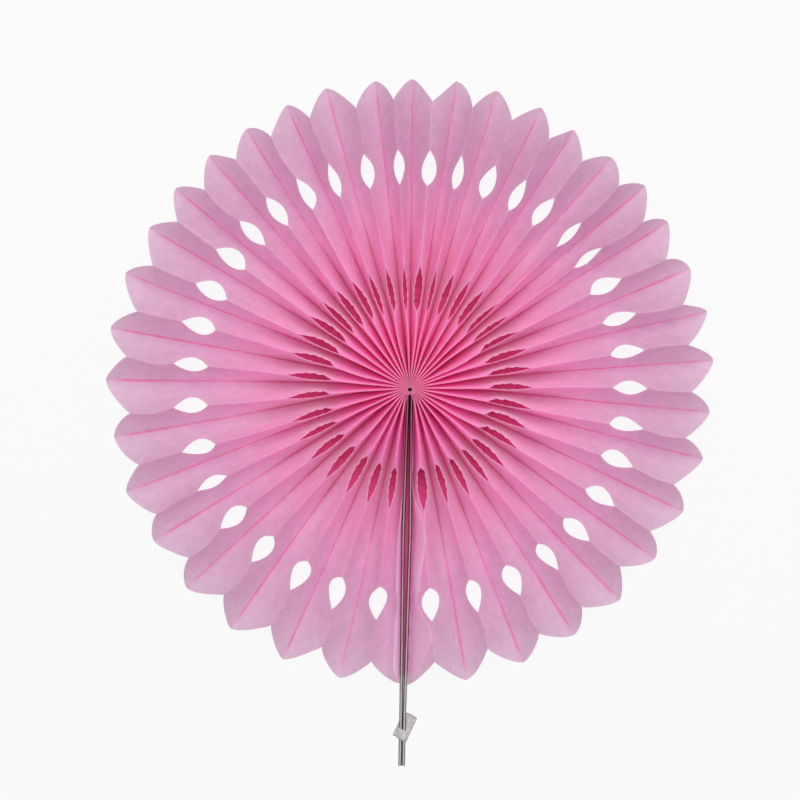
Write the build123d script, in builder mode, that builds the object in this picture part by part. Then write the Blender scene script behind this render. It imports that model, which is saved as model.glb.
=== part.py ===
import os
from math import asin, atan, atan2, cos, pi, radians, sin, sqrt

from build123d import *

os.makedirs("parts", exist_ok=True)

# A paper fan opened into a full ring, lying on its back with its front up.
# Millimetres: +Z is the front, the hub axis is Z, the stem points along -Y.

# Pleated paper
fan_diameter = 250.0  # across the petal tips
pleat_count = 37  # ridges with a full leaf on either side
leaf_width = 20.0  # flat leaf, fold to fold, so also the depth of the pleats
paper_thickness = 0.15
petal_depth = 12.3  # from petal tip to the notch between petals
petal_fullness = 0.75  # 0.5 for a round tip, 1 for a straight-sided one
crowding = 0.18  # pleats sit this much closer than the mean opposite the seam
crowding_lag = -11.0  # degrees that the closest place lies off the seam's line
unevenness = 0.07  # share of a pleat by which a fold strays from the even run

# Cuts into the ridges, drawn on the flat leaf
eye_inset = 24.8  # from the notch in to the middle of the outer cut
eye_length = 14.2
eye_depth = 8.0  # how far the outer cut goes in from the ridge
slit_reach = 40.5  # hub axis to the middle of the inner cut
slit_length = 18.0
slit_depth = 7.6
slit_shoulder = 0.36  # widest place of the inner cut, as a share of its length

# Hub
hub_radius = 2.8  # leaves pressed and glued solid
pinhole_radius = 0.8

# Stem: two wires glued to the end leaves and taped together at the tail
wire_radius = 0.7
wire_top_spread = 0.74  # seam line to wire axis at the hub
wire_mid_spread = 1.45  # the same where the wires bow apart most
wire_bow = 60.0  # hub axis to that place
wire_close = 139.7  # hub axis to where the wires lie side by side again
wire_bend_radius = 90.0
wire_free = 11.1  # length that stands out beyond the tape
wire_top_height = 9.0  # wire axis above the table at the hub
wire_tail_height = 3.0
glue_gap = 0.02  # glue line between a wire and its leaf, and under the tape

# End leaves: upright along the wires near the hub, fallen outward beyond
end_leaf_grip = 34.0  # hub axis to where the end leaves come off the wires
end_leaf_fallen = 65.0  # hub axis to where they have fallen all the way
left_leaf_fall = 0.2  # 0 for upright, 1 for lying on the next leaf
right_leaf_fall = 0.85

# Tape folded over the tail of the stem
tape_thickness = 0.12
tape_width = 6.3
tape_length = 11.2
tape_offset = 3.3  # middle of the tape, on from where the wires close up
tape_shift = 1.0  # middle of the tape, to the right of the seam line
tape_lean = 23.0  # degrees between tape and stem
tape_fold_length = 4.7  # how much of its lower end lies over the front of the wires

tip_radius = fan_diameter / 2
notch_radius = tip_radius - petal_depth
eye_reach = notch_radius - eye_inset
eye_start = eye_reach - eye_length / 2
eye_end = eye_reach + eye_length / 2
slit_start = slit_reach - slit_length / 2
slit_end = slit_reach + slit_length / 2
slit_widest = slit_start + slit_shoulder * slit_length
wire_closed = wire_radius + glue_gap / 2
land = paper_thickness / 2
tape_reach = wire_close + tape_offset
wire_tail = tape_reach + tape_length / 2 + wire_free

# Distances from the hub axis at which the sheet has corners
stations = [hub_radius, 1.6 * hub_radius, 3.5 * hub_radius]
stations += [slit_start, slit_widest, slit_end, wire_bow]
stations += [eye_start + eye_length * step / 6 for step in range(7)]
stations += [notch_radius + petal_depth * step for step in (0, 0.4, 0.7, 0.9, 1)]
stations.sort()


def seam_half(reach):
    """Sideways distance from the seam line to the fold that carries an end leaf."""
    opening = (reach - hub_radius) / (wire_bow - hub_radius)
    closing = (wire_close - reach) / (wire_close - wire_bow)
    spread = wire_top_spread + (wire_mid_spread - wire_top_spread) * opening
    if reach > wire_bow:
        spread = wire_closed + (wire_mid_spread - wire_closed) * closing
    return spread + wire_radius + glue_gap + land


def valley_share(valley):
    """Share of the way round the ring at which a valley fold lies."""
    even = valley / pleat_count
    lag = radians(crowding_lag)
    crowd = crowding / (2 * pi) * (sin(2 * pi * even + lag) - sin(lag))
    stray = unevenness / pleat_count * sin(pi * even) * sin(2.4 * valley * valley)
    return even + crowd + stray


def turn(share, reach):
    """Angle from the seam, clockwise from the front, at a share of the way round."""
    seam = asin(seam_half(reach) / reach)
    return seam + share * (2 * pi - 2 * seam)


def leaf_run(pleat, reach):
    """Sideways run of a pleat's leaves: half the pleat's width in plan."""
    spread = turn(valley_share(pleat + 1), reach) - turn(valley_share(pleat), reach)
    return reach * sin(spread / 2)


def leaf_rise(pleat, reach):
    """Rise of a pleat's leaves: a leaf keeps its flat width at every reach."""
    return sqrt(leaf_width**2 - leaf_run(pleat, reach) ** 2)


def leaf_lean(pleat, reach):
    """Sideways run of a leaf for each unit of its rise."""
    return leaf_run(pleat, reach) / leaf_rise(pleat, reach)


def end_lean(pleat, reach, fall):
    """The same for an end leaf, which falls toward the leaf of the pleat beside it."""
    fallen = (reach - end_leaf_grip) / (end_leaf_fallen - end_leaf_grip)
    return fall * min(max(fallen, 0), 1) * leaf_lean(pleat, reach)


def paper_across(reach):
    """Share of the leaf's width, from the valley fold, that the cuts leave standing."""
    if eye_start < reach < eye_end:
        along = (reach - eye_reach) / (eye_length / 2)
        return 1 - eye_depth / leaf_width * (1 - along**2)
    if slit_start < reach < slit_end:
        taper = (reach - slit_start) / (slit_widest - slit_start)
        taper = min(taper, (slit_end - reach) / (slit_end - slit_widest))
        return 1 - slit_depth / leaf_width * taper
    if reach > notch_radius:
        return max((tip_radius - reach) / petal_depth, 0) ** petal_fullness
    return 1


def corner(reach, angle, sideways, height):
    """Point at a reach and angle, moved sideways round the ring and up."""
    x = -reach * sin(angle) - sideways * cos(angle)
    y = -reach * cos(angle) + sideways * sin(angle)
    return (round(x, 6), round(y, 6), round(height, 6))


def valley_fold(valley, reach):
    """Front and back corners of a valley fold, each before and after the fold."""
    if valley == 0:
        before, after = -end_lean(0, reach, left_leaf_fall), leaf_lean(0, reach)
    elif valley == pleat_count:
        before, after = leaf_lean(valley - 1, reach), -end_lean(valley - 1, reach, right_leaf_fall)
    else:
        before, after = leaf_lean(valley - 1, reach), leaf_lean(valley, reach)
    pressed = reach == hub_radius
    crease = leaf_width if pressed else paper_thickness / (before + after)
    angle = turn(valley_share(valley), reach)
    front = corner(reach, angle, land * (after - before) / (after + before), crease)
    return front, front, corner(reach, angle, -land, 0), corner(reach, angle, land, 0)


def ridge_fold(pleat, reach):
    """Front and back corners of a ridge fold, each before and after the fold."""
    pressed = reach == hub_radius
    rise = leaf_width if pressed else leaf_rise(pleat, reach)
    inside = 0 if pressed else rise - land / leaf_lean(pleat, reach)
    angle = turn((valley_share(pleat) + valley_share(pleat + 1)) / 2, reach)
    back = corner(reach, angle, 0, inside)
    return corner(reach, angle, -land, rise), corner(reach, angle, land, rise), back, back


def free_edge(valley, pleat, reach, fall, side):
    """Front and back corners of an end leaf's free edge, which falls to one side."""
    lean = atan(end_lean(pleat, reach, fall))
    angle = turn(valley_share(valley), reach)
    run, rise = leaf_width * sin(lean), leaf_width * cos(lean)
    front = corner(reach, angle, side * (run + land), rise)
    back = corner(reach, angle, side * (run - land), rise)
    return front, front, back, back


def fold_row(reach):
    """Every fold of the strip at one reach, from free edge to free edge."""
    row = [free_edge(0, 0, reach, left_leaf_fall, 1)]
    for pleat in range(pleat_count):
        row += [valley_fold(pleat, reach), ridge_fold(pleat, reach)]
    row.append(valley_fold(pleat_count, reach))
    row.append(free_edge(pleat_count, pleat_count - 1, reach, right_leaf_fall, -1))
    return row


def cut_back(valley_corner, top_corner, reach):
    """Point on a leaf, on the way from its valley fold to its top, where the paper ends."""
    across = paper_across(reach)
    return tuple(round(v + across * (t - v), 6) for v, t in zip(valley_corner, top_corner))


def leaf_row(reach):
    """Every leaf at one reach: its front and back at the valley, then at its other edge."""
    row = fold_row(reach)
    leaves = []
    for index, (before, after) in enumerate(zip(row, row[1:])):
        front, back = (before[1], before[3]), (after[0], after[2])
        valley, top = (front, back) if index % 2 else (back, front)
        leaves.append(valley + tuple(cut_back(v, t, reach) for v, t in zip(valley, top)))
    return leaves


def patch(a, b, c, d):
    """Two flat triangles over a four-cornered patch; a repeated corner leaves one."""
    halves = ((a, b, c), (a, c, d))
    return [Face(Wire.make_polygon(half)) for half in halves if len(set(half)) == 3]


def sheet_skin():
    """Facets of the pleated sheet from the hub to the petal tips."""
    rows = [leaf_row(reach) for reach in stations]
    gaping = [paper_across((a + b) / 2) < 1 for a, b in zip(stations, stations[1:])]
    skin = []
    for near, far, cut in zip(rows, rows[1:], gaping):
        ends = (0, len(near) - 1)
        for index, (n, f) in enumerate(zip(near, far)):
            skin += patch(n[0], n[2], f[2], f[0]) + patch(n[1], n[3], f[3], f[1])
            if cut or index in ends:
                skin += patch(n[2], n[3], f[3], f[2])
        for index in range(len(near) - 1):
            n, n_next, f, f_next = near[index], near[index + 1], far[index], far[index + 1]
            if index % 2 == 0:
                skin += patch(n[1], n_next[1], f_next[1], f[1])
            elif not cut:
                skin += patch(n[2], n_next[2], f_next[2], f[2])
    for row, inner, outer in zip(rows[1:-1], gaping, gaping[1:]):
        if inner != outer:
            for leaf, leaf_next in zip(row[1::2], row[2::2]):
                skin += patch(leaf[2], leaf_next[2], leaf_next[3], leaf[3])
    for leaf, leaf_next in zip(rows[-1][0::2], rows[-1][1::2]):
        skin += patch(leaf[0], leaf_next[0], leaf_next[1], leaf[1])
    return skin


def hub_skin():
    """Front, back, seam face and pinhole of the pressed hub."""
    row = fold_row(hub_radius)
    front = [row[0][2]] + [point for fold in row for point in fold[:2]] + [row[-1][2]]
    back = [point for fold in row[1:-1] for point in fold[2:]]
    faces = []
    for loop, height in ((front, leaf_width), (back, 0)):
        rim = Wire.make_polygon(list(dict.fromkeys(loop)))
        faces.append(Face(rim, [Wire.make_circle(pinhole_radius, Plane.XY.offset(height))]))
    faces.append(Face.extrude(Edge.make_circle(pinhole_radius), (0, 0, leaf_width)))
    return faces + patch(front[0], back[0], back[-1], front[-1])


with BuildPart() as pleated_fan:
    add(Solid(Shell(sheet_skin() + hub_skin())), clean=False)

wire_slope = atan2(wire_top_height - wire_tail_height, wire_tail)
stem_plane = Plane(
    origin=(0, 0, wire_top_height),
    x_dir=(1, 0, 0),
    z_dir=(0, sin(wire_slope), -cos(wire_slope)),
)
hub_face = sqrt(hub_radius**2 - seam_half(hub_radius) ** 2) + land
wire_top = hub_face + wire_radius * sin(wire_slope) + glue_gap


def stem_wire(side):
    """One wire of the stem, bowed away from the other one along the fan."""
    with BuildPart() as wire:
        with BuildLine(stem_plane) as path:
            FilletPolyline(
                (side * wire_top_spread, wire_top),
                (side * wire_mid_spread, wire_bow),
                (side * wire_closed, wire_close),
                (side * wire_closed, wire_tail),
                radius=wire_bend_radius,
            )
        with BuildSketch(Plane(path.line @ 0, z_dir=path.line % 0)):
            Circle(wire_radius)
        sweep()
    return wire.part


with BuildPart() as left_wire:
    add(stem_wire(-1))

with BuildPart() as right_wire:
    add(stem_wire(1))

tape_bed = wire_radius + glue_gap
fold_start = tape_reach + tape_length / 2 - tape_fold_length
fold_plane = Plane(
    origin=stem_plane.from_local_coords((0, fold_start, 0)),
    x_dir=stem_plane.x_dir,
    z_dir=stem_plane.y_dir,
)

with BuildPart() as tape_tie:
    with BuildSketch(stem_plane.offset(tape_bed)):
        with Locations((tape_shift, tape_reach)):
            Rectangle(2 * tape_length, 2 * tape_length)
    extrude(amount=tape_thickness)
    with BuildSketch(fold_plane):
        SlotCenterToCenter(2 * wire_closed, 2 * (tape_bed + tape_thickness))
        with Locations((tape_shift, -tape_bed)):
            Rectangle(2 * tape_length, 2 * tape_thickness)
        SlotCenterToCenter(2 * wire_closed, 2 * tape_bed, mode=Mode.SUBTRACT)
    extrude(amount=tape_length)
    with BuildSketch(stem_plane.offset(-tape_length)):
        with Locations((tape_shift, tape_reach)):
            Rectangle(tape_width, tape_length, rotation=tape_lean)
    extrude(amount=2 * tape_length, mode=Mode.INTERSECT)

pleated_fan.part.label = "pleated_fan"
left_wire.part.label = "left_wire"
right_wire.part.label = "right_wire"
tape_tie.part.label = "tape_tie"

export_step(pleated_fan.part, "parts/pleated_fan.step")
export_step(left_wire.part, "parts/left_wire.step")
export_step(right_wire.part, "parts/right_wire.step")
export_step(tape_tie.part, "parts/tape_tie.step")
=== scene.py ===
"""A pleated tissue fan opened into a rosette, with its two-wire stem and the tape that ties it.

The fan lies on its back in the part's frame: front up along +Z, stem along -Y, metres.
"""
from math import cos, radians, sin

import bmesh
import bpy
import numpy as np
from mathutils import Matrix, Vector


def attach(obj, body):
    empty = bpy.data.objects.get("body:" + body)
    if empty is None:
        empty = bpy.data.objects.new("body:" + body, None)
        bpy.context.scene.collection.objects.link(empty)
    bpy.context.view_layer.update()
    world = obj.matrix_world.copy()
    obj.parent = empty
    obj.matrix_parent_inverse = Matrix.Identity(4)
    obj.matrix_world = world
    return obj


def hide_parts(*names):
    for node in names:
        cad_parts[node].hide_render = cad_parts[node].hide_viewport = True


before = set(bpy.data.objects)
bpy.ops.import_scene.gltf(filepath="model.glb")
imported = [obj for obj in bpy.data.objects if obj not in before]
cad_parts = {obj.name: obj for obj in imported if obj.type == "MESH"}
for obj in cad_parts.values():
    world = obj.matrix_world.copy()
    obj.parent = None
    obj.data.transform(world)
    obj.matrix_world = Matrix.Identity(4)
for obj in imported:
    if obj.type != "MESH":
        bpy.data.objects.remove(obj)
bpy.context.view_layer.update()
chance = np.random.default_rng(37)
MM = 0.001

# The fan's own sizes, in millimetres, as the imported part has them, but for the slits, which are fuller here
TIP, NOTCH, FULLNESS = 125.0, 112.7, 0.75
PLEATS, LEAF = 37, 20.0
LEAVES = 2 * PLEATS + 2
HUB = 0.85
EYE_FROM, EYE_TO, EYE_DEPTH = 80.8, 95.0, 8.0
SLIT_FROM, SLIT_TO, SLIT_DEPTH = 31.5, 49.5, 8.0
SLIT_ALONG, SLIT_OPEN = (0, 0.12, 0.2, 0.27, 0.45, 0.7, 1), (0, 0.66, 0.9, 0.84, 1.0, 0.72, 0)
SLIT_RAGGED = 0.12
PAPER = 0.06
SEAM_REACH, SEAM_HALF = (0.8, 1.7, 2.45, 60.0, 139.7), (0.02, 0.15, 1.5, 2.245, 1.505)
ARCH_REACH, ARCH_HALF = (0.8, 1.7, 2.3, 4.7, 9.0), (0.02, 0.08, 0.6, 1.4, 1.6)
CREST, SHOULDER = 0.22, 0.985
WIRE, WIRE_TOP, WIRE_TAIL, STEM = 0.7, 9.0, 3.0, 159.7
TAPE_WIDE, TAPE_LONG, TAPE_LEAN, TAPE_REACH, TAPE_X = 6.3, 11.2, 23.0, 143.0, 1.0
FILM, TAPE_BELOW, TAPE_ABOVE = 0.1, 0.12, 0.14

# How the valleys crowd away from the seam, and how far folds, leaves and corners stray
CROWD, CROWD_LAG, VALLEY_STRAY = 0.18, -11.0, 0.07
HUB_BEND, RIDGE_SWAY, RIDGE_CURL, RIDGE_SAG, RIDGE_BEND = 0.3, 0.5, 0.6, 1.0, 0.5
TIP_STRAY, TIP_TILT, NOTCH_STRAY, NOTCH_TILT = 0.55, 1.0, 0.9, 1.1
VALLEY_SWAY, SWELL, SWELL_WAVE, FREE_ROOM = 0.3, 0.45, 13, 6

# Points this near in metres are one, and folds past this many degrees stay sharp
WELD, SHARP_FOLD = 1e-6, 28

# The end leaves: where the wires let go of them, and how far each has fallen over
GRIP, FALLEN, LEFT_FALL = 34.0, 65.0, 0.2
RIGHT_FALLEN, RIGHT_FALL, RIGHT_CORNER = 57.0, 0.93, -10.5
LIFT_FROM, LIFT_TOP, LIFT_TO, LIFT = 60.0, 79.0, 101.0, 0.45

# The paper behind the wires and the sheets inside the slits, both dyed toward a deep crimson of painted shade
BACK_FROM, BACK_TO, BACK_SHADE = 2.4, 122.0, 0.8
WEB_DEPTH, WEB_BEFORE, WEB_AFTER = 0.6, 2.0, 3.0

# The picture: its side, focal length and shift in pixels, tilt and turn in degrees, distance in metres
PICTURE, FOCAL, SHIFT = 800, 1457.4, (-9.9, -14.5)
TILT, ROLL, AWAY = 5.0, 1.25, 0.6

# The stage: half the floor's side in metres, the sky as it lights and as it is seen, how often light bounces
FLOOR, SKY_LIGHT, SKY_SEEN, BOUNCES = 3, 0.46, 0.97, 250

# Dyes: the deep crimson of painted shade for the paper inside the fan, and the loose end leaves, paled as
# painted light, in light that they throw back and let through
SHADE_CRIMSON = (0.72, 0.11, 0.28, 1)
LOOSE_LIT_PAINTED, LOOSE_PASSED_PAINTED = (1.0, 0.92, 1.0, 1), (1.0, 0.68, 0.88, 1)


def smooth(x, low, high):
    """A ramp from 0 at low to 1 at high that leaves and arrives level: 3t^2 - 2t^3."""
    t = np.clip((x - low) / (high - low), 0, 1)
    return t * t * (3 - 2 * t)


def seam_half(reach):
    """Half the seam's width: straight runs that follow the bowed wires and close at the hub."""
    return np.interp(reach, SEAM_REACH, SEAM_HALF)


def valley_share(valley):
    """Share of the way round for a valley: an even run, crowded away from the seam and a little uneven."""
    even = valley / PLEATS
    lag = np.radians(CROWD_LAG)
    crowd = CROWD / (2 * np.pi) * (np.sin(2 * np.pi * even + lag) - np.sin(lag))
    stray = VALLEY_STRAY / PLEATS * np.sin(np.pi * even) * np.sin(2.4 * valley * valley)
    return even + crowd + stray


def turn(share, reach):
    """Angle from the seam, clockwise from the front: the seam's half angle and a share of the rest."""
    seam = np.arcsin(np.clip(seam_half(reach) / reach, 0, 1))
    return seam + share * (2 * np.pi - 2 * seam)


def paper_across(reach, leaf):
    """Share of a leaf left by the cuts.

    A parabola for the eye, a long lens with a ragged edge for the slit, a power curve for the petal.
    """
    along = np.clip((2 * reach - EYE_FROM - EYE_TO) / (EYE_TO - EYE_FROM), -1, 1)
    eye = EYE_DEPTH / LEAF * eye_bite[leaf] * (1 - along**2) * (1 + eye_skew[leaf] * along)
    lens = np.interp((reach - SLIT_FROM) / (SLIT_TO - SLIT_FROM), SLIT_ALONG, SLIT_OPEN)
    ragged = 1 + SLIT_RAGGED * np.sin(1.9 * reach + leaf_wave[leaf])
    slit = SLIT_DEPTH / LEAF * lens * ragged
    petal = np.clip((TIP - reach) / (TIP - NOTCH), 0, 1) ** FULLNESS
    return (1 - eye - slit) * petal


def ring_point(reach, angle, sideways, height):
    """Points at a reach and an angle, moved sideways round the ring and up, in metres."""
    x = -reach * np.sin(angle) - sideways * np.cos(angle)
    y = -reach * np.cos(angle) + sideways * np.sin(angle)
    return np.stack(np.broadcast_arrays(x, y, height), axis=-1) * MM


def grid_faces(rows, columns, first=0):
    """Quads of a grid of points stored row by row."""
    corner = first + np.arange(rows - 1)[:, None] * columns + np.arange(columns - 1)[None, :]
    return np.stack([corner, corner + 1, corner + columns + 1, corner + columns], axis=-1).reshape(-1, 4)


def put_mesh(name, points, faces, uv=None, **values):
    """A mesh object at the origin from points and quads, with uv and named values for each point."""
    mesh = bpy.data.meshes.new(name)
    mesh.from_pydata(points.reshape(-1, 3).tolist(), [], faces.tolist())
    if uv is not None:
        layer = mesh.uv_layers.new(name="leaf")
        loops = np.empty(len(mesh.loops), np.int32)
        mesh.loops.foreach_get("vertex_index", loops)
        layer.data.foreach_set("uv", uv.reshape(-1, 2)[loops].astype(np.float32).ravel())
    for key, value in values.items():
        mesh.attributes.new(key, "FLOAT", "POINT").data.foreach_set("value", value.astype(np.float32))
    mesh.update()
    piece = bpy.data.objects.new(name, mesh)
    bpy.context.scene.collection.objects.link(piece)
    return piece


def reaches():
    """Distances from the hub axis: closer where a cut begins, ends or turns."""
    runs = [
        np.geomspace(HUB, SLIT_FROM, 16)[:-1],
        np.linspace(SLIT_FROM, SLIT_TO, 16)[:-1],
        np.linspace(SLIT_TO, EYE_FROM, 9)[:-1],
        EYE_FROM + (EYE_TO - EYE_FROM) * (1 - np.cos(np.linspace(0, np.pi, 14)))[:-1] / 2,
        np.linspace(EYE_TO, NOTCH, 8)[:-1],
        NOTCH + (TIP - NOTCH) * np.sin(np.linspace(0, np.pi / 2, 11)),
    ]
    return np.concatenate(runs)


# How each fold, leaf and cut strays from the even run, one draw for each
ridge_sway, ridge_curl, ridge_bend, hub_bend, notch_stray = chance.normal(0, 1, (5, PLEATS))
valley_sway, tip_stray = chance.normal(0, 1, (2, PLEATS + 1))
leaf_swell, eye_skew = chance.normal(0, 1, (2, LEAVES)) * [[1.0], [0.2]]
eye_bite = chance.uniform(0.86, 1.14, LEAVES)
leaf_wave = chance.uniform(0, 2 * np.pi, LEAVES)
leaf_swell[-1], leaf_wave[-1] = leaf_swell[-2], leaf_wave[-2]
valley_sway[[0, -1]] = 0


def right_fall(reach):
    """How far the right end leaf has fallen: over past the slit, up at its eye, over again at the petal."""
    lifted = smooth(reach, LIFT_FROM, LIFT_TOP) * (1 - smooth(reach, LIFT_TOP, LIFT_TO))
    return RIGHT_FALL * smooth(reach, GRIP, RIGHT_FALLEN) - LIFT * lifted


def ridge_stray(pleat, reach, run, angle):
    """Sideways stray of a ridge: slow sines near the hub, over its length and past the eye, where it sags."""
    outer = np.clip((reach - EYE_TO) / (TIP - EYE_TO), 0, 1)
    near = HUB_BEND * hub_bend[pleat] * run * np.sin(np.pi * smooth(reach, 1.2, 36))
    whole = RIDGE_SWAY * ridge_sway[pleat] * np.clip(run / FREE_ROOM, 0, 1)
    whole = whole * np.sin(np.pi * smooth(reach, 10, TIP))
    bow = (RIDGE_CURL * ridge_curl[pleat] - RIDGE_SAG * np.sin(angle)) * np.sin(np.pi * outer)
    return near + whole + bow + RIDGE_BEND * ridge_bend[pleat] * np.sin(2 * np.pi * outer)


def leaf_surface(leaf, reach, across):
    """One leaf as a ruled strip from its valley to its ridge, swelled by a low arch across it.

    Point = valley + share * (ridge - valley) + arch * normal; the arch is 4 s (1 - s) times a slow wave along
    the leaf, and grows with the room that the leaf has. Reach runs down the rows, share across the columns.
    """
    valley = leaf // 2
    pleat = min(max((leaf - 1) // 2, 0), PLEATS - 1)
    share = across * paper_across(reach, leaf)[:, None]
    middle = 2 * np.pi * (valley_share(pleat) + valley_share(pleat + 1)) / 2
    tip = TIP_STRAY * tip_stray[valley] + TIP_TILT * np.cos(2 * np.pi * valley_share(valley))
    notch = NOTCH_STRAY * notch_stray[pleat] - NOTCH_TILT * np.cos(middle)
    if leaf == LEAVES - 1:
        notch = RIGHT_CORNER
    far = reach[:, None] + tip * smooth(reach[:, None], EYE_TO, TIP) * (1 - share)
    far = far + notch * smooth(reach[:, None], EYE_TO, NOTCH) * share

    low = turn(valley_share(valley), far)
    first, second = turn(valley_share(pleat), far), turn(valley_share(pleat + 1), far)
    run = far * np.sin((second - first) / 2)
    rise = np.sqrt(LEAF**2 - run**2)
    room = np.clip(run / FREE_ROOM, 0, 1)
    sway = ridge_stray(pleat, far, run, middle)
    wander = VALLEY_SWAY * valley_sway[valley] * np.sin(np.pi * smooth(far, 30, TIP))
    foot = ring_point(far, low, wander, PAPER / 2)
    if leaf in (0, LEAVES - 1):
        side = tangent = 1 if leaf == 0 else -1
        fall = LEFT_FALL * smooth(far, GRIP, FALLEN) if leaf == 0 else right_fall(far)
        lean = np.arctan(fall * (run + side * sway) / rise)
        close = seam_half(far) - np.interp(far, ARCH_REACH, ARCH_HALF)
        inward = np.where(far < 8, close, 0) * smooth(share, 0.5, 1)
        top = ring_point(far, low, side * (LEAF * np.sin(lean) - inward), LEAF * np.cos(lean))
        brow = top
    else:
        tangent = 1 if leaf % 2 else -1
        crest = CREST * (1 - smooth(far, 16, 40)) * np.clip(run / (2.4 * CREST), 0, 1)
        top = ring_point(far, (first + second) / 2, sway - tangent * crest, rise)
        brow = ring_point(far, (first + second) / 2, sway, rise + 0.3 * crest)
    square = ring_point(far, low, tangent * rise, -run) - ring_point(far, low, 0, 0)
    wave = 1 + 0.5 * np.sin(far / SWELL_WAVE + leaf_wave[leaf])
    arch = SWELL * leaf_swell[leaf] * room * wave * 4 * share * (1 - share)
    up = np.minimum(share / SHOULDER, 1)[..., None]
    over = np.maximum((share - SHOULDER) / (1 - SHOULDER), 0)[..., None]
    points = foot + (top - foot) * up + (brow - top) * over + square * arch[..., None] / LEAF
    return points, np.stack([share, np.broadcast_to(reach[:, None] / TIP, share.shape)], axis=-1)


def seam_back(reach):
    """The paper behind the wires: a strip ruled between the feet of the end leaves, flat on the table, dyed
    mostly the deep crimson of painted shade.
    """
    kept = reach[(reach > BACK_FROM) & (reach < BACK_TO)]
    left, right = (leaf_surface(leaf, kept, np.array([[0.0]]))[0] for leaf in (0, LEAVES - 1))
    points = left + (right - left) * np.linspace(0, 1, 5)[None, :, None]
    points[..., 2] = 0.4 * PAPER * MM
    uv = np.zeros(points.shape[:2] + (2,))
    uv[..., 1] = kept[:, None] / TIP
    return points, uv


def slit_shade_web(pleat, reach):
    """A sheet of painted shade inside a slit, where there is only shade: a strip ruled across a ridge from
    leaf to leaf, below their cut edges.
    """
    kept = reach[(reach > SLIT_FROM - WEB_BEFORE) & (reach < SLIT_TO + WEB_AFTER)]
    left, right = (leaf_surface(2 * pleat + side, kept, np.array([[WEB_DEPTH]]))[0] for side in (1, 2))
    points = left + (right - left) * np.linspace(0, 1, 4)[None, :, None]
    uv = np.full(points.shape[:2] + (2,), 0.5)
    uv[..., 1] = kept[:, None] / TIP
    return points, uv


def pleated_tissue():
    """The whole sheet: every leaf's grid, to be welded where leaves meet at a fold, and the strips behind.

    Each point carries how far its leaf is paled as painted light, for the loose end leaves, and how much of
    the deep crimson of painted shade its paper takes, for the dye.
    """
    reach = reaches()
    across = np.array([[0, 0.1, 0.26, 0.45, 0.65, 0.84, SHOULDER, 1]])
    strips = [leaf_surface(leaf, reach, across) for leaf in range(LEAVES)] + [seam_back(reach)]
    strips += [slit_shade_web(pleat, reach) for pleat in range(PLEATS)]
    points, faces, uv, loose, inner, first = [], [], [], [], [], 0
    for index, (strip, pair) in enumerate(strips):
        quads = grid_faces(*strip.shape[:2], first)
        faces.append(quads if index % 2 or index > LEAVES else quads[:, ::-1])
        points.append(strip.reshape(-1, 3))
        uv.append(pair.reshape(-1, 2))
        # Painted light: the loose end leaves are paled where they have fallen over, standing for light they
        # lack from beneath
        loose.append(np.where(index in (0, LEAVES - 1), smooth(pair[..., 1], 0.3, 0.42), 0).ravel())
        # The strip behind the wires and the sheets in the slits take the deep crimson of painted shade,
        # standing for the shade there
        deep = BACK_SHADE * (index == LEAVES) + (index > LEAVES)
        inner.append(np.full(pair.shape[0] * pair.shape[1], deep))
        first += strip.shape[0] * strip.shape[1]
    points, faces, uv, loose, inner = map(np.concatenate, (points, faces, uv, loose, inner))
    return put_mesh("tissue_fan", points, faces, uv, loose=loose, inner=inner)


def weld(piece, distance):
    """Joins points of neighbouring leaves that meet at a fold."""
    shape = bmesh.new()
    shape.from_mesh(piece.data)
    bmesh.ops.remove_doubles(shape, verts=shape.verts, dist=distance)
    shape.to_mesh(piece.data)
    shape.free()
    piece.data.update()


def nodes_of(name):
    """A new material with only its output, and a helper that adds a node and sets its inputs."""
    material = bpy.data.materials.new(name)
    material.use_nodes = True
    tree = material.node_tree
    tree.nodes.clear()
    output = tree.nodes.new("ShaderNodeOutputMaterial")

    def add(kind, inputs=None, **settings):
        node = tree.nodes.new(kind)
        for key, value in settings.items():
            setattr(node, key, value)
        for key, value in (inputs or {}).items():
            socket = node.inputs[key]
            if isinstance(value, bpy.types.NodeSocket):
                tree.links.new(value, socket)
            else:
                socket.default_value = value
        return node

    return material, tree, output, add


def ramp(add, factor, stops):
    """A colour ramp with the given places and colours."""
    node = add("ShaderNodeValToRGB", {"Fac": factor})
    elements = node.color_ramp.elements
    while len(elements) < len(stops):
        elements.new(0.5)
    for element, (place, colour) in zip(elements, stops):
        element.position = place
        element.color = (*colour, 1)
    return node.outputs["Color"]


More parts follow.
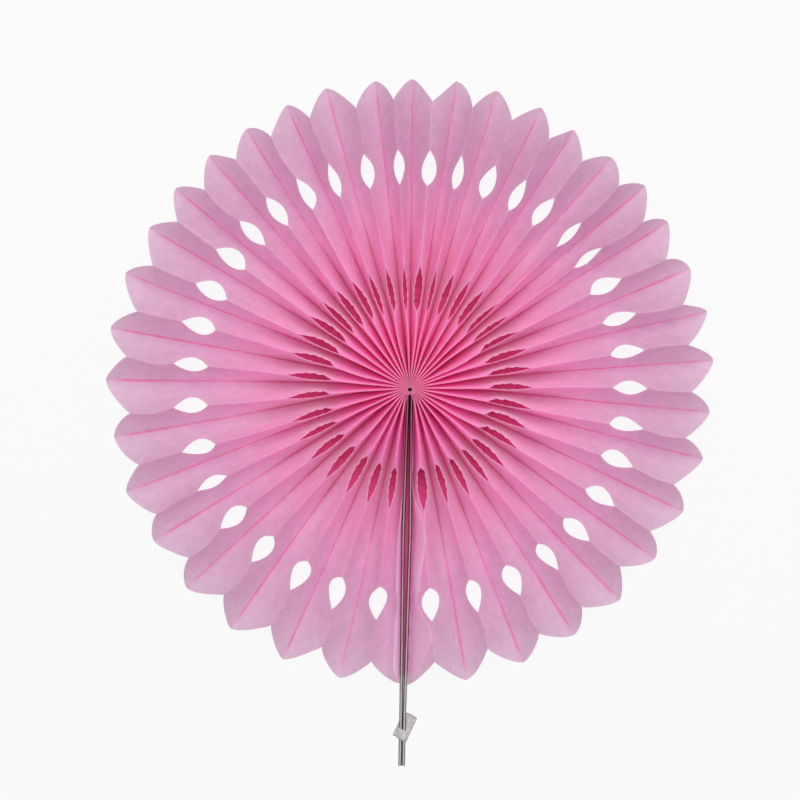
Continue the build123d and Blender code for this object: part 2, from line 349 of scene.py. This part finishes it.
def tissue_material():
    """Dyed tissue: pale on its face, deep pink in the light that comes through, deeper at the folds, cloudy,
    with painted light paling the troughs halfway out and a painted hot pink halo beside the valleys.

    The sheet has two faces; light that meets one from inside the paper goes straight on out. The loose end
    leaves are paled as painted light; the sheets behind the slits and the strip behind the wires are painted
    shade, deep crimson.
    """
    material, tree, output, add = nodes_of("tissue")
    place = add("ShaderNodeUVMap", uv_map="leaf").outputs["UV"]
    parts = add("ShaderNodeSeparateXYZ", {"Vector": place})
    across, reach = parts.outputs["X"], parts.outputs["Y"]
    where = add("ShaderNodeTexCoord").outputs["Object"]

    def between(value, low, high, start, end):
        node = add("ShaderNodeMapRange", {"Value": value, "From Min": low, "From Max": high,
                                          "To Min": start, "To Max": end})
        node.interpolation_type = "SMOOTHSTEP"
        return node.outputs["Result"]

    def times(first, second):
        return add("ShaderNodeMath", {0: first, 1: second}, operation="MULTIPLY").outputs["Value"]

    def blend(factor, first, second):
        node = add("ShaderNodeMix", {"Factor": factor, "A": first, "B": second}, data_type="RGBA")
        return node.outputs["Result"]

    def noise(scale, detail, roughness=0.5):
        node = add("ShaderNodeTexNoise", {"Vector": where, "Scale": scale, "Detail": detail,
                                          "Roughness": roughness})
        return node.outputs["Fac"]

    cloud, patch, fibre = noise(240.0, 6.0, 0.75), noise(22.0, 2.0), noise(1500.0, 3.0)
    line = times(between(across, 0.0, 0.09, 0.75, 0.0), between(reach, 0.93, 0.985, 1.0, 0.1))
    line = times(line, between(patch, 0.3, 0.7, 0.55, 1.0))
    # Painted light: a faint hot pink halo beside each valley, halfway out to the petals, standing for light
    # bounced inside the fold
    valley_halo_painted = times(between(across, 0.0, 0.4, 0.12, 0.0), between(reach, 0.45, 0.95, 1.0, 0.0))
    crest = times(between(across, 0.95, 0.985, 0.0, 1.0), between(reach, 0.1, 0.42, 1.0, 0.0))
    # Painted light: halfway out, the leaves are paled toward their valleys, standing for light that the deep
    # troughs keep from them
    trough_light_reach = times(between(reach, 0.1, 0.24, 0.0, 1.0), between(reach, 0.45, 0.72, 1.0, 0.0))
    pale = times(between(across, 0.1, 0.85, 0.95, 0.0), trough_light_reach)
    loose = add("ShaderNodeAttribute", attribute_name="loose").outputs["Fac"]
    inner = add("ShaderNodeAttribute", attribute_name="inner").outputs["Fac"]
    spots = times(between(cloud, 0.3, 0.7, -0.07, 0.05), between(reach, 0.2, 0.6, 0.1, 1.0))
    mottle = add("ShaderNodeMath", {0: spots, 1: 1.0}, operation="ADD").outputs["Value"]

    # low is the paler dye of the painted light in the troughs, hot the valley lines with their painted halo,
    # ridge the crests
    def dyed(stops, low, hot, ridge):
        dye = blend(pale, ramp(add, reach, stops), low)
        dye = blend(valley_halo_painted, dye, hot)
        dye = blend(line, dye, hot)
        dye = blend(crest, dye, ridge)
        return add("ShaderNodeVectorMath", {0: dye, "Scale": mottle}, operation="SCALE").outputs["Vector"]

    lit = dyed([(0.0, (0.975, 0.68, 1.0)), (0.12, (0.985, 0.75, 0.98)), (0.3, (0.995, 0.82, 0.98)),
                (0.5, (0.97, 0.75, 0.90)), (0.7, (0.87, 0.69, 0.83)), (1.0, (0.815, 0.69, 0.80))],
               (1, 1, 1, 1), (0.92, 0.24, 0.54, 1), (0.92, 0.42, 0.62, 1))
    # Loose end leaves paled as painted light; the strip behind the wires and the sheets in the slits dyed
    # deep crimson as painted shade
    lit = blend(inner, blend(loose, lit, LOOSE_LIT_PAINTED), SHADE_CRIMSON)
    passed = dyed([(0.0, (0.98, 0.36, 0.85)), (0.12, (0.985, 0.35, 0.74)), (0.3, (1.0, 0.42, 0.76)),
                   (0.5, (0.98, 0.43, 0.74)), (0.7, (0.87, 0.43, 0.68)), (1.0, (0.82, 0.48, 0.67))],
                  (1, 0.56, 0.84, 1), (0.92, 0.18, 0.42, 1), (0.97, 0.3, 0.55, 1))
    passed = blend(inner, blend(loose, passed, LOOSE_PASSED_PAINTED), SHADE_CRIMSON)
    bump = add("ShaderNodeBump", {"Height": fibre, "Strength": 0.12, "Distance": 0.0002})
    face = add("ShaderNodeBsdfPrincipled", {"Base Color": lit, "Roughness": 0.8, "Specular IOR Level": 0.2,
                                            "Normal": bump.outputs["Normal"]})
    through = add("ShaderNodeBsdfTranslucent", {"Color": passed})
    both = add("ShaderNodeMixShader", {0: 0.5, 1: face.outputs["BSDF"], 2: through.outputs["BSDF"]})
    inside = add("ShaderNodeBsdfTranslucent", {"Color": (1, 1, 1, 1)})
    side = add("ShaderNodeNewGeometry").outputs["Backfacing"]
    sheet = add("ShaderNodeMixShader", {0: side, 1: both.outputs["Shader"], 2: inside.outputs["BSDF"]})
    tree.links.new(sheet.outputs["Shader"], output.inputs["Surface"])
    return material


def wire_material():
    """Drawn steel, finely scratched: grey on top as a painted highlight, dark down its sides as painted
    shade, with a painted pink reflection of the paper near the hub.
    """
    material, tree, output, add = nodes_of("wire")
    spot = add("ShaderNodeTexCoord")
    drawn = add("ShaderNodeMapping", {"Vector": spot.outputs["Object"], "Scale": (6000.0, 60.0, 6000.0)})
    lines = add("ShaderNodeTexNoise", {"Vector": drawn.outputs["Vector"], "Scale": 1.0, "Detail": 3.0})
    # Painted highlight and shade: grey where the surface faces up, dark down the sides, by which way it faces
    facing = add("ShaderNodeSeparateXYZ", {"Vector": spot.outputs["Normal"]})
    sideways = add("ShaderNodeMath", {0: facing.outputs["X"]}, operation="ABSOLUTE")
    grey = ramp(add, sideways.outputs["Value"], [(0.0, (0.58, 0.55, 0.55)), (0.3, (0.45, 0.42, 0.42)),
                                                (0.65, (0.16, 0.12, 0.13)), (1.0, (0.06, 0.04, 0.05))])
    worn = add("ShaderNodeMapRange", {"Value": lines.outputs["Fac"], "From Min": 0.3, "From Max": 0.7,
                                      "To Min": 0.75, "To Max": 1.1})
    # Painted reflection: the wire is tinted pink toward the hub, standing for the paper it reflects there
    along = add("ShaderNodeSeparateXYZ", {"Vector": spot.outputs["Object"]}).outputs["Y"]
    near_hub = add("ShaderNodeMapRange", {"Value": along, "From Min": -0.08, "From Max": 0.0})
    painted_pink_reflection = ramp(add, near_hub.outputs["Result"], [(0.0, (1, 1, 1)), (1.0, (0.95, 0.75, 0.85))])
    grey = add("ShaderNodeVectorMath", {0: grey, 1: painted_pink_reflection}, operation="MULTIPLY").outputs["Vector"]
    colour = add("ShaderNodeVectorMath", {0: grey, "Scale": worn.outputs["Result"]}, operation="SCALE")
    rough = add("ShaderNodeMapRange", {"Value": lines.outputs["Fac"], "To Min": 0.22, "To Max": 0.42})
    steel = add("ShaderNodeBsdfPrincipled", {"Base Color": colour.outputs["Vector"], "Metallic": 1.0,
                                             "Roughness": rough.outputs["Result"]})
    tree.links.new(steel.outputs["BSDF"], output.inputs["Surface"])
    return material


def tape_film():
    """The tape: a strip that lies behind the wires, leans across them and laps over them at its lower end.

    Along the strip v and across it u, the point is the strip's middle + u and v along its own two directions.
    The height follows the back of the wires, rises to their rounded front where the lower end laps over them,
    and is crumpled by slow sines. The ends are rounded by a part of an ellipse.
    """
    u = np.linspace(-TAPE_WIDE / 2, TAPE_WIDE / 2, 25)[None, :]
    v = np.linspace(-TAPE_LONG / 2, TAPE_LONG / 2, 41)[:, None]
    end = np.sqrt(np.clip(1 - (u / (0.62 * TAPE_WIDE)) ** 2, 0, 1))
    v = v * np.where(v > 0, 0.86 + 0.2 * end, 0.9 + 0.1 * end)
    lean = np.radians(TAPE_LEAN)
    x = TAPE_X + u * np.cos(lean) + v * np.sin(lean)
    y = -TAPE_REACH - u * np.sin(lean) + v * np.cos(lean)
    crumple = 0.1 * np.sin(1.7 * u + 0.9 * v) + 0.07 * np.sin(2.9 * v - 1.3 * u + 1.0)
    crumple = crumple + 0.05 * np.sin(4.1 * u + 2.3 * v)
    wire = WIRE_TOP + (WIRE_TAIL - WIRE_TOP) * -y / STEM
    back = wire - WIRE - TAPE_BELOW + np.where(np.abs(x) < 1.6, 0.3, 1.0) * crumple
    round_front = np.sqrt(np.clip(1 - (np.maximum(np.abs(x) - WIRE, 0) / 1.1) ** 2, 0.04, 1))
    front = wire + WIRE * round_front + TAPE_ABOVE + 0.3 * crumple
    lap = (1 - smooth(v, -1.3, -0.9)) * np.ones_like(u)
    over = (1 - smooth(np.abs(x), 1.5, 2.4)) * lap
    return np.stack([x, y, back + (front - back) * over], axis=-1) * MM


def tape_material():
    """Milky clear tape: greyer and thicker at its edges, crumpled, slightly glossy."""
    material, tree, output, add = nodes_of("tape")
    where = add("ShaderNodeTexCoord").outputs["Object"]
    parts = add("ShaderNodeSeparateXYZ", {"Vector": add("ShaderNodeUVMap", uv_map="leaf").outputs["UV"]})
    sides = [add("ShaderNodeMath", {0: parts.outputs[axis], 1: 0.5}, operation="SUBTRACT") for axis in "XY"]
    sides = [add("ShaderNodeMath", {0: side.outputs["Value"]}, operation="ABSOLUTE") for side in sides]
    edge = add("ShaderNodeMath", {0: sides[0].outputs["Value"], 1: sides[1].outputs["Value"]},
               operation="MAXIMUM")
    edge = add("ShaderNodeMapRange", {"Value": edge.outputs["Value"], "From Min": 0.4, "From Max": 0.5})
    crumple = add("ShaderNodeTexNoise", {"Vector": where, "Scale": 700.0, "Detail": 4.0})
    milk = ramp(add, crumple.outputs["Fac"], [(0.3, (0.60, 0.56, 0.57)), (0.7, (0.84, 0.80, 0.81))])
    grey = add("ShaderNodeMix", {"Factor": edge.outputs["Result"], "A": milk, "B": (0.42, 0.39, 0.40, 1)},
               data_type="RGBA")
    bump = add("ShaderNodeBump", {"Height": crumple.outputs["Fac"], "Strength": 0.35, "Distance": 0.0003})
    film = add("ShaderNodeBsdfPrincipled", {"Base Color": grey.outputs["Result"], "Roughness": 0.3,
                                            "Normal": bump.outputs["Normal"]})
    clear = add("ShaderNodeBsdfTransparent", {"Color": (0.95, 0.95, 0.95, 1)})
    both = add("ShaderNodeMixShader", {0: 0.15, 1: film.outputs["BSDF"], 2: clear.outputs["BSDF"]})
    tree.links.new(both.outputs["Shader"], output.inputs["Surface"])
    return material


def floor_material():
    """Pale floor that the camera sees as white, save under the hub and the stem, with a faint shadow left."""
    material, tree, output, add = nodes_of("floor")

    def math(operation, *values):
        return add("ShaderNodeMath", dict(enumerate(values)), operation=operation).outputs["Value"]

    path = add("ShaderNodeLightPath").outputs
    seen = math("MAXIMUM", path["Is Camera Ray"], path["Is Glossy Ray"])
    seen = math("MAXIMUM", seen, path["Is Transmission Ray"])
    where = add("ShaderNodeTexCoord").outputs["Object"]
    away = add("ShaderNodeVectorMath", {0: where}, operation="LENGTH").outputs["Value"]
    open_floor = add("ShaderNodeMapRange", {"Value": away, "From Min": 0.055, "From Max": 0.075,
                                            "To Min": 0.0, "To Max": 0.9})
    apart = add("ShaderNodeSeparateXYZ", {"Vector": where})
    beside = math("ABSOLUTE", apart.outputs["X"])
    clear = add("ShaderNodeMapRange", {"Value": beside, "From Min": 0.0007, "From Max": 0.0014})
    under = math("COMPARE", apart.outputs["Y"], -0.079, 0.079)
    clear = math("MAXIMUM", clear.outputs["Result"], math("SUBTRACT", 1.0, under))
    share = math("MULTIPLY", math("MULTIPLY", seen, open_floor.outputs["Result"]), clear)
    pale = add("ShaderNodeBsdfDiffuse", {"Color": (0.7, 0.7, 0.7, 1)})
    white = add("ShaderNodeEmission", {"Color": (1, 1, 1, 1), "Strength": 1.0})
    both = add("ShaderNodeMixShader", {0: share, 1: pale.outputs["BSDF"], 2: white.outputs["Emission"]})
    tree.links.new(both.outputs["Shader"], output.inputs["Surface"])
    return material


tissue, steel, film = tissue_material(), wire_material(), tape_material()

fan = pleated_tissue()
weld(fan, WELD)
fan.data.shade_smooth()
fan.data.set_sharp_from_angle(angle=np.radians(SHARP_FOLD))
fan.data.materials.append(tissue)
thick = fan.modifiers.new("paper", "SOLIDIFY")
thick.thickness = PAPER * MM
thick.offset = 0
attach(fan, "root")
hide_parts("pleated_fan")

for wire in ("left_wire", "right_wire"):
    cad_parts[wire].data.materials.clear()
    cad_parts[wire].data.materials.append(steel)

strip = tape_film()
rows, columns = strip.shape[:2]
spread = np.stack(np.meshgrid(np.linspace(0, 1, columns), np.linspace(0, 1, rows)), axis=-1)
tape = put_mesh("tape_film", strip, grid_faces(rows, columns), spread)
tape.data.shade_smooth()
tape.data.materials.append(film)
skin = tape.modifiers.new("film", "SOLIDIFY")
skin.thickness = FILM * MM
skin.offset = 0
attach(tape, "root")
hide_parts("tape_tie")

# Stage: floor, light and the camera over the fan, a little toward the top of the picture
corners = FLOOR * np.array([[-1, -1, 0], [1, -1, 0], [1, 1, 0], [-1, 1, 0]], float)
floor = put_mesh("floor", corners, np.array([[0, 1, 2, 3]]))
floor.data.materials.append(floor_material())

world = bpy.data.worlds.new("studio")
bpy.context.scene.world = world
world.use_nodes = True
sky = world.node_tree
path = sky.nodes.new("ShaderNodeLightPath")
seen = path.outputs["Is Camera Ray"]
for other in ("Is Glossy Ray", "Is Transmission Ray"):
    either = sky.nodes.new("ShaderNodeMath")
    either.operation = "MAXIMUM"
    sky.links.new(seen, either.inputs[0])
    sky.links.new(path.outputs[other], either.inputs[1])
    seen = either.outputs["Value"]
level = sky.nodes.new("ShaderNodeMapRange")
level.inputs["To Min"].default_value, level.inputs["To Max"].default_value = SKY_LIGHT, SKY_SEEN
sky.links.new(seen, level.inputs["Value"])
sky.nodes["Background"].inputs["Color"].default_value = (1, 1, 1, 1)
sky.links.new(level.outputs["Result"], sky.nodes["Background"].inputs["Strength"])


def soft_box(name, place, size, power):
    """A square lamp aimed at the fan's middle."""
    lamp = bpy.data.lights.new(name, "AREA")
    lamp.size = size
    lamp.energy = power
    holder = bpy.data.objects.new(name, lamp)
    aim = Vector(place).to_track_quat("Z", "Y").to_matrix().to_4x4()
    holder.matrix_world = Matrix.Translation(place) @ aim
    bpy.context.scene.collection.objects.link(holder)


soft_box("key_box", place=(0.15, 0.75, 1.0), size=0.5, power=4.7)
soft_box("top_box", place=(0.0, 0.35, 1.15), size=0.4, power=3.3)

tilt, roll = radians(TILT), radians(ROLL)
right = Vector((cos(roll), sin(roll), 0))
up = Vector((-sin(roll), cos(roll), 0))
back = sin(tilt) * up + cos(tilt) * Vector((0, 0, 1))
camera = bpy.data.objects.new("camera", bpy.data.cameras.new("camera"))
camera.matrix_world = Matrix((right, back.cross(right), back)).transposed().to_4x4()
camera.matrix_world.translation = AWAY * back
camera.data.lens = camera.data.sensor_width * FOCAL / PICTURE
camera.data.shift_x, camera.data.shift_y = (pixels / PICTURE for pixels in SHIFT)
camera.data.clip_start = 0.01
bpy.context.scene.collection.objects.link(camera)
bpy.context.scene.camera = camera
bpy.context.scene.view_settings.view_transform = "Standard"
for kind in ("max_bounces", "diffuse_bounces", "transmission_bounces"):
    setattr(bpy.context.scene.cycles, kind, BOUNCES)
